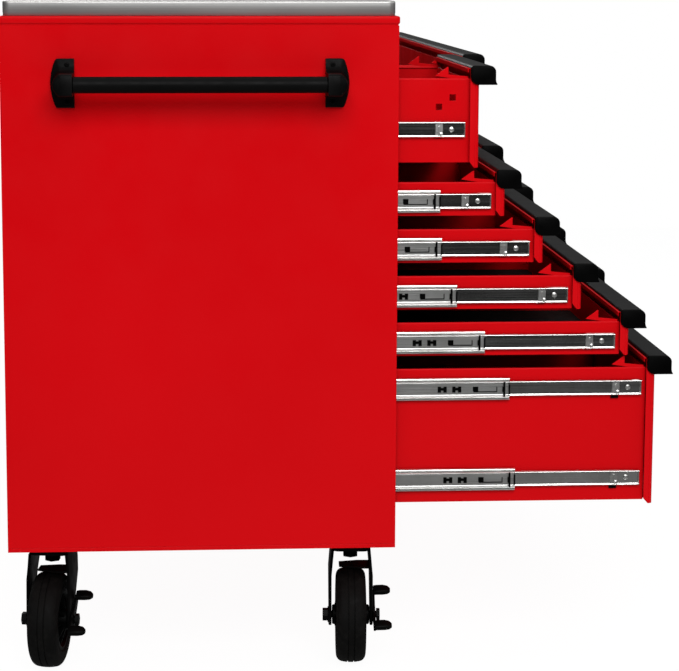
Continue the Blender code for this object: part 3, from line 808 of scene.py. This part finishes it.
def slide_sides(bank):
    """Each side of a bank's boxes: which wall, its x and the direction from the slide to the box."""
    return (("outer", BOX_SPAN[bank][0] if bank == "left" else BOX_SPAN[bank][1],
             1 if bank == "left" else -1),
            ("inner", BOX_SPAN[bank][1] if bank == "left" else BOX_SPAN[bank][0],
             -1 if bank == "left" else 1))


def make_slides(bank, row):
    """The three members of every slide of a drawer, on both its sides."""
    levels = ("",) if len(SLIDE_Z[row]) == 1 else ("_upper", "_lower")
    size = drawer_measures(bank, row)
    for level, height in zip(levels, SLIDE_Z[row]):
        node = f"slide_{bank}_{row + 1}{level}"
        low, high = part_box(node)
        for side, wall, inward in slide_sides(bank):
            name = f"{bank}_{row + 1}{level}_{side}"
            stands_for = (node,) if side == "outer" else ()
            make_middle_member(name, bank, row, wall, inward, (low[1], high[1]), height, stands_for)
            make_inner_member(name, bank, row, wall, inward, size, height)
            make_fixed_member(name, wall, inward, height)


def make_fixed_member(name, wall, inward, height):
    x_face = CASE_LEFT + wall - inward * FIXED_OFF_WALL
    y_range = [CASE_FRONT + y for y in FIXED_SPAN]
    shape = member(outer_depth, FIXED_MEMBER_HEIGHT, x_face, inward, y_range, height)
    add_piece(f"fixed_member_{name}", shape, ZINC, "case")


def make_middle_member(name, bank, row, wall, inward, y_range, height, stands_for):
    """The middle member with its front bumper, and black patches painted on the web as shade for its
    ball-cage windows and latch slit.
    """
    body = f"{bank}_middle_member_{row + 1}"
    x_face = CASE_LEFT + wall - inward * MIDDLE_OFF_WALL
    shape = member(middle_depth, MIDDLE_MEMBER_HEIGHT, x_face, inward, y_range, height)
    add_piece(f"middle_member_{name}", shape, DULL_ZINC, body, stands_for=stands_for)
    front = y_range[0]
    back = x_face + inward * 0.0032
    web_xs = sorted((x_face + inward * 0.0022, back))
    ridge_xs = sorted((x_face - inward * 0.0002, back))

    def dark(y0, y1, z0, z1, xs=web_xs):
        return solid_of_boxes([((xs[0], front + y0, height + z0), (xs[1], front + y1, height + z1))])
    bumper = [dark(0.0076, 0.0106, -0.0125, 0.0125, ridge_xs),
              dark(0.0100, 0.0122, -0.0045, 0.0045, ridge_xs),
              dark(-0.0004, 0.0018, -0.0085, 0.0085, ridge_xs)]
    # Painted shade: the latch slit and the windows are black boxes lying on the web, not cut openings.
    latch_slit_shade = [dark(0.0205, 0.0220, -0.0050, 0.0042), dark(0.0220, 0.0600, -0.0050, -0.0034),
             dark(0.0520, 0.0610, -0.0034, 0.0046)]
    window_shade = []
    for start in (0.080, 0.104):
        window_shade += [dark(start, start + 0.0055, -0.0050, 0.0050),
                    dark(start + 0.0095, start + 0.0150, -0.0050, 0.0050),
                    dark(start + 0.0055, start + 0.0095, -0.0016, 0.0030)]
    # One piece: the plastic bumper, and the painted shade of the slit and windows.
    add_piece(f"bumper_and_opening_shade_{name}", join(*bumper, *latch_slit_shade, *window_shade), MOULDING, body, 0.0004)


def make_inner_member(name, bank, row, wall, inward, size, height):
    """The drawer member with its release lever, rivet and bent front stop."""
    body = f"{bank}_drawer_{row + 1}"
    x_face = CASE_LEFT + wall - inward * INNER_OFF_WALL
    start = CASE_FRONT + size["face"] + INNER_BEHIND_FACE
    y_range = (start, start + INNER_LENGTH)
    shape = member(inner_depth, INNER_MEMBER_HEIGHT, x_face, inward, y_range, height, 1.0)
    add_piece(f"inner_member_{name}", shape, ZINC, body)
    web = x_face + inward * 0.0064

    def block(y0, y1, z0, z1, out, back=0.0):
        xs = tuple(sorted((web - inward * out, web + inward * back)))
        return solid_of_boxes([((xs[0], start + y0, height + z0), (xs[1], start + y1, height + z1))])
    stop = block(0.0, 0.0012, -0.0110, 0.0110, 0.0048)
    clip = block(0.036, 0.048, -0.0108, 0.0108, 0.0016)
    clip_fold = block(0.0405, 0.0435, -0.0108, 0.0060, 0.0026)
    add_piece(f"stop_clip_{name}", join(stop, clip, clip_fold), DULL_ZINC, body, 0.0005)
    rivet_place = (web + inward * 0.0002, start + 0.0215, height)
    stud_place = (web - inward * 0.0016, start + 0.0385, height - 0.0075)
    rivet = button(rivet_place, 0, -inward, 0.0042, 0.0026, 18, False)
    stud = button(stud_place, 0, -inward, 0.0030, 0.0024, 16, False)
    add_piece(f"rivets_{name}", join(rivet, stud), DULL_ZINC, body)
    tab_low = -0.0180 if len(SLIDE_Z[row]) > 1 else -0.0145
    tab = block(0.0375, 0.0505, tab_low, -0.0110, 0.0020, -0.0006)
    add_piece(f"release_tab_{name}", tab, MOULDING, body, 0.0012)


# Casters

def caster_place(name):
    """Places a caster's own points: X along the roll, Y along the axle, from the floor under the swivel."""
    hub_low, hub_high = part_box(f"caster_{name}_hub")
    heading = math.radians(CASTER_HEADING[name])
    axle = ((hub_low[0] + hub_high[0]) / 2, (hub_low[1] + hub_high[1]) / 2)
    cos, sin = math.cos(heading), math.sin(heading)
    swivel = (axle[0] - TRAIL * cos, axle[1] - TRAIL * sin)

    def place(point):
        x, y, z = point
        return swivel[0] + x * cos - y * sin, swivel[1] + x * sin + y * cos, z
    return place


def moved(shape, place):
    for vertex in shape.verts:
        vertex.co = Vector(place(tuple(vertex.co)))
    return shape


def make_caster(name):
    place = caster_place(name)
    make_fork(name, place)
    make_wheel(name, place)
    make_pedal(name, place)


def make_fork(name, place):
    """Two tapered legs under a crown, the kingpin's nut, the brake shoe and the axle's bolt and nut."""
    legs = []
    levels = ((0.064, 0.010), (0.068, 0.0155), (0.080, 0.018), (0.095, 0.0215), (0.120, 0.029),
              (0.150, 0.0375), (0.172, 0.0405), (0.1950, 0.0415))
    for side in (-1, 1):
        rings = []
        for z, half in levels:
            lean = 0.0 if z < 0.15 else (z - 0.15) * 0.09
            centre = TRAIL * max(0.0, min(1.0, (0.165 - z) / 0.085)) * 0.98 if z > 0.080 else TRAIL
            inner = side * (FORK_INNER - lean)
            outer = side * (FORK_OUTER - lean)
            edge = 0.0028
            section = [(centre - half, outer - side * 0.0010), (centre - half + edge, outer),
                       (centre + half - edge, outer), (centre + half, outer - side * 0.0010),
                       (centre + half, inner + side * 0.0004), (centre + half - edge, inner),
                       (centre - half + edge, inner), (centre - half, inner + side * 0.0004)]
            rings.append([place((x, y, z)) for x, y in section])
        legs.append(skin_rings(rings))
    crown_rings = []
    for z, half_x, half_y in ((0.1930, 0.0415, 0.0325), (0.1965, 0.0425, 0.0336), (0.2010, 0.0415, 0.0318),
                              (0.2038, 0.0385, 0.0285)):
        outline = rounded_rectangle((-half_x, half_x), (-half_y, half_y), 0.012, 4)
        crown_rings.append([place((x, y, z)) for x, y in outline])
    nut = moved(prism(arc((0.0, 0.0), 0.0138, 0, 300, 5), 2, 0.1745, 0.1860), place)
    washer = moved(prism(arc((0.0, 0.0), 0.0185, 0, 345, 23), 2, 0.1850, 0.1935), place)
    shoe_outline = [(-0.002, 0.0120), (-0.002, 0.0345), (0.040, 0.0345), (0.040, 0.0120), (0.030, -0.0200),
                    (0.006, -0.0200)]
    shoe = moved(prism(shoe_outline, 2, 0.1628, 0.1662), place)
    add_piece(f"fork_{name}", join(*legs, skin_rings(crown_rings), nut, washer, shoe), BLACK_PAINT,
              f"{name}_swivel", 0.0007, (f"caster_{name}_fork",))
    bolts = []
    for y0, y1, radius, sides in ((-0.0475, -0.0372, 0.0112, 6), (-0.0390, -0.0374, 0.0135, 24),
                                  (0.0376, 0.0478, 0.0058, 24), (0.0438, 0.0496, 0.0108, 6)):
        circle = arc((TRAIL, WHEEL_RADIUS), radius, 0, 360 - 360 / sides, sides - 1)
        bolts.append(moved(prism(circle, 1, y0, y1), place))
    axle = arc((TRAIL, WHEEL_RADIUS), AXLE_RADIUS, 0, 345, 23)
    bolts.append(moved(prism(axle, 1, -FORK_INNER - 0.001, FORK_INNER + 0.001), place))
    add_piece(f"axle_{name}", join(*bolts), BLACK_PAINT, f"{name}_swivel", 0.0006)


def make_wheel(name, place):
    """A moulded hub with ribs and a hard tyre with a crowned, grooved tread."""
    def at_axle(point):
        return place((point[0] + TRAIL, point[1], point[2] + WHEEL_RADIUS))
    half = WHEEL_HALF_WIDTH
    bore = AXLE_RADIUS + 0.0006
    hub = [(bore, -0.0315), (0.0150, -0.0315), (0.0165, -0.0300), (0.0180, -half + 0.008),
           (HUB_RADIUS - 0.010, -half + 0.010), (HUB_RADIUS - 0.0075, -half + 0.003),
           (HUB_RADIUS - 0.0060, -half + 0.0015), (HUB_RADIUS - 0.0005, -half + 0.0015)]
    hub += [(radius, -along) for radius, along in reversed(hub)]
    add_piece(f"hub_{name}", turned(hub, 64, at_axle), MOULDING, f"{name}_wheel",
              stands_for=(f"caster_{name}_hub",))
    ribs = []
    for step in range(10):
        angle = 2 * math.pi * step / 10
        for side in (-1, 1):
            cos, sin = math.cos(angle), math.sin(angle)
            outline = []
            for radius, along in ((0.0165, 0.0160), (0.0165, 0.0275), (HUB_RADIUS - 0.009, 0.0205),
                                  (HUB_RADIUS - 0.009, 0.0140)):
                outline.append((radius, side * along))
            rings = []
            for offset in (-0.0016, 0.0016):
                rings.append([at_axle((radius * cos - offset * sin, along, radius * sin + offset * cos))
                              for radius, along in outline])
            ribs.append(skin_rings(rings))
    add_piece(f"hub_ribs_{name}", join(*ribs), MOULDING, f"{name}_wheel", 0.0006)
    seat = HUB_RADIUS + 0.0002
    shoulder = 0.0125
    crown = 0.0012
    side = [(seat, -half + 0.0020), (seat + 0.0015, -half + 0.0006), (seat + 0.0045, -half),
            (seat + 0.0075, -half + 0.0010), (WHEEL_RADIUS - shoulder - 0.001, -half)]
    side += [(radius, along) for along, radius in
             arc((-half + shoulder, WHEEL_RADIUS - crown - shoulder), shoulder, 180, 96, 8)]
    groove = [(WHEEL_RADIUS - sunk, along) for sunk, along in (
        (0.0004, -0.0085), (0.0002, -0.0062), (0.0018, -0.0056), (0.0018, -0.0046), (0.0, -0.0040))]
    profile = side + groove
    profile += [(radius, -along) for radius, along in reversed(profile)]
    add_piece(f"tyre_{name}", turned(profile, 96, at_axle), RUBBER, f"{name}_wheel",
              stands_for=(f"caster_{name}_tyre",))


def make_pedal(name, place):
    """The rocker brake: a pressed plate tipped on the axle, with a bent, rounded paddle at each end."""
    low_y = 0.0383
    high_y = 0.0419
    cos, sin = math.cos(math.radians(PEDAL_TILT)), math.sin(math.radians(PEDAL_TILT))

    def tipped(point):
        x, y, z = point
        return place((TRAIL + x * cos + z * sin, y, WHEEL_RADIUS - x * sin + z * cos))
    outline = arc((0.0, 0.0), 0.0150, 200, 340, 10)
    outline += [(0.0400, 0.0020), (0.0445, 0.0060), (0.0455, 0.0120), (0.0400, 0.0185)]
    outline += arc((0.0, 0.0), 0.0160, 58, 122, 6)
    outline += [(-0.0400, 0.0185), (-0.0455, 0.0120), (-0.0445, 0.0060), (-0.0400, 0.0020)]
    shapes = [moved(prism(outline, 1, low_y, high_y), tipped)]
    for side in (-1, 1):
        across = sorted((side * 0.0318, side * 0.0502))
        rings = []
        for out, rise, shrink, half in ((0.0395, 0.0, 0.0, 0.0040), (0.0450, 0.0010, 0.0, 0.0050),
                                        (0.0560, 0.0014, 0.0, 0.0052), (0.0640, 0.0010, 0.0016, 0.0046),
                                        (0.0686, 0.0002, 0.0056, 0.0028)):
            middle = 0.0155 + rise
            x_range = (across[0] + shrink, across[1] - shrink)
            section = rounded_rectangle(x_range, (middle - half, middle + half), half * 0.7, 3)
            rings.append([tipped((x, out, z)) for x, z in section])
        shapes.append(skin_rings(rings))
    add_piece(f"pedal_{name}", join(*shapes), BLACK_PAINT, f"{name}_brake", 0.0006,
              (f"caster_{name}_pedal",))


def finish_carried_nodes():
    """The base frame keeps its CAD shape, with the black paint."""
    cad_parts["base_frame"].material_slots[0].material = BLACK_PAINT


# Stage, light and camera

def pale_floor():
    """A softly lit white floor, which keeps its shadows light."""
    nodes = Nodes("pale_floor", (0.05, 0.05, 0.05), 0.9, Specular_IOR_Level=0.0, Emission_Strength=1.0)
    nodes.shader.inputs["Emission Color"].default_value = (0.96, 0.96, 0.96, 1.0)
    nodes.roughness(nodes.spread(nodes.noise(2.0, 2.0), 0.85, 0.95))
    return nodes.material


def make_stage():
    """The floor, just under the wheels."""
    shape = bmesh.new()
    reach = 5.0
    corners = ((-reach, -reach), (reach, -reach), (reach, reach), (-reach, reach))
    shape.faces.new([shape.verts.new((x, y, -0.0005)) for x, y in corners])
    mesh = bpy.data.meshes.new("floor")
    shape.to_mesh(mesh)
    shape.free()
    mesh.materials.append(pale_floor())
    floor = bpy.data.objects.new("floor", mesh)
    bpy.context.scene.collection.objects.link(floor)
    floor.visible_glossy = False


def add_light(name, location, target, size, power):
    data = bpy.data.lights.new(name, "AREA")
    data.shape = "RECTANGLE"
    data.size, data.size_y = size
    data.energy = power
    light = bpy.data.objects.new(name, data)
    light.location = location
    light.rotation_euler = (Vector(target) - Vector(location)).to_track_quat("-Z", "Y").to_euler()
    bpy.context.scene.collection.objects.link(light)


def make_world():
    """A pale studio: white to the camera; what the metal mirrors is dark near the horizon only."""
    world = bpy.data.worlds.new("studio")
    world.use_nodes = True
    bpy.context.scene.world = world
    tree = world.node_tree
    background = tree.nodes["Background"]
    place = tree.nodes.new("ShaderNodeTexCoord")
    split = tree.nodes.new("ShaderNodeSeparateXYZ")
    tree.links.new(place.outputs["Generated"], split.inputs["Vector"])
    height = tree.nodes.new("ShaderNodeMapRange")
    height.inputs["From Min"].default_value = -1.0
    tree.links.new(split.outputs["Z"], height.inputs["Value"])
    ramp = tree.nodes.new("ShaderNodeValToRGB")
    tree.links.new(height.outputs["Result"], ramp.inputs["Fac"])
    stops = ((-0.27, 0.26), (-0.20, 0.010), (0.12, 0.010), (0.60, 0.50))
    while len(ramp.color_ramp.elements) < len(stops):
        ramp.color_ramp.elements.new(0.5)
    for element, (z, grey) in zip(ramp.color_ramp.elements, stops):
        element.position = (z + 1) / 2
        element.color = (grey, grey, grey, 1.0)
    seen = tree.nodes.new("ShaderNodeLightPath")
    mixed = tree.nodes.new("ShaderNodeMix")
    mixed.data_type = "RGBA"
    tree.links.new(seen.outputs["Is Camera Ray"], mixed.inputs["Factor"])
    tree.links.new(ramp.outputs["Color"], mixed.inputs[6])
    mixed.inputs[7].default_value = (1.0, 1.0, 1.0, 1.0)
    tree.links.new(mixed.outputs[2], background.inputs["Color"])
    background.inputs["Strength"].default_value = 1.0


def make_lights():
    """A strong soft key at the left, and weak soft lights in front, above and at the right."""
    middle = ((CASE_LEFT + CASE_RIGHT) / 2, CASE_FRONT, 0.6)
    add_light("key_left", (-4.8, -0.2, 3.3), (CASE_LEFT, -0.1, 0.55), (3.4, 2.2), 235.0)
    add_light("front_soft", (-0.6, -4.6, 3.0), middle, (3.4, 1.8), 42.0)
    add_light("top_soft", (0.0, 0.0, 4.4), middle, (4.0, 4.0), 48.0)
    add_light("right_soft", (4.6, 1.8, 3.2), middle, (2.6, 2.0), 70.0)


def make_camera():
    """Looks along +X at the left side panel, from just above the worktop's height."""
    distance = 3.20
    yaw = math.radians(-3.18)
    pitch = math.radians(-7.62)
    data = bpy.data.cameras.new("camera")
    data.lens = 106.3
    data.sensor_width = 36.0
    data.shift_x = 0.06
    data.shift_y = -0.14
    data.clip_end = 60.0
    camera = bpy.data.objects.new("camera", data)
    camera.location = (CASE_LEFT - distance, CASE_FRONT + 0.338, 1.165)
    look = Vector((math.cos(pitch) * math.cos(yaw), math.cos(pitch) * math.sin(yaw), math.sin(pitch)))
    turn = look.to_track_quat("-Z", "Y") @ Quaternion((0.0, 0.0, 1.0), math.radians(0.1))
    camera.rotation_euler = turn.to_euler()
    bpy.context.scene.collection.objects.link(camera)
    bpy.context.scene.camera = camera


bpy.context.scene.view_settings.view_transform = "Standard"
make_case()
make_worktop()
make_handle()
finish_carried_nodes()
for caster in CASTER_HEADING:
    make_caster(caster)
for bank_name in BANKS:
    for row_index in range(ROWS):
        make_drawer(bank_name, row_index)
        make_slides(bank_name, row_index)
make_stage()
make_world()
make_lights()
make_camera()
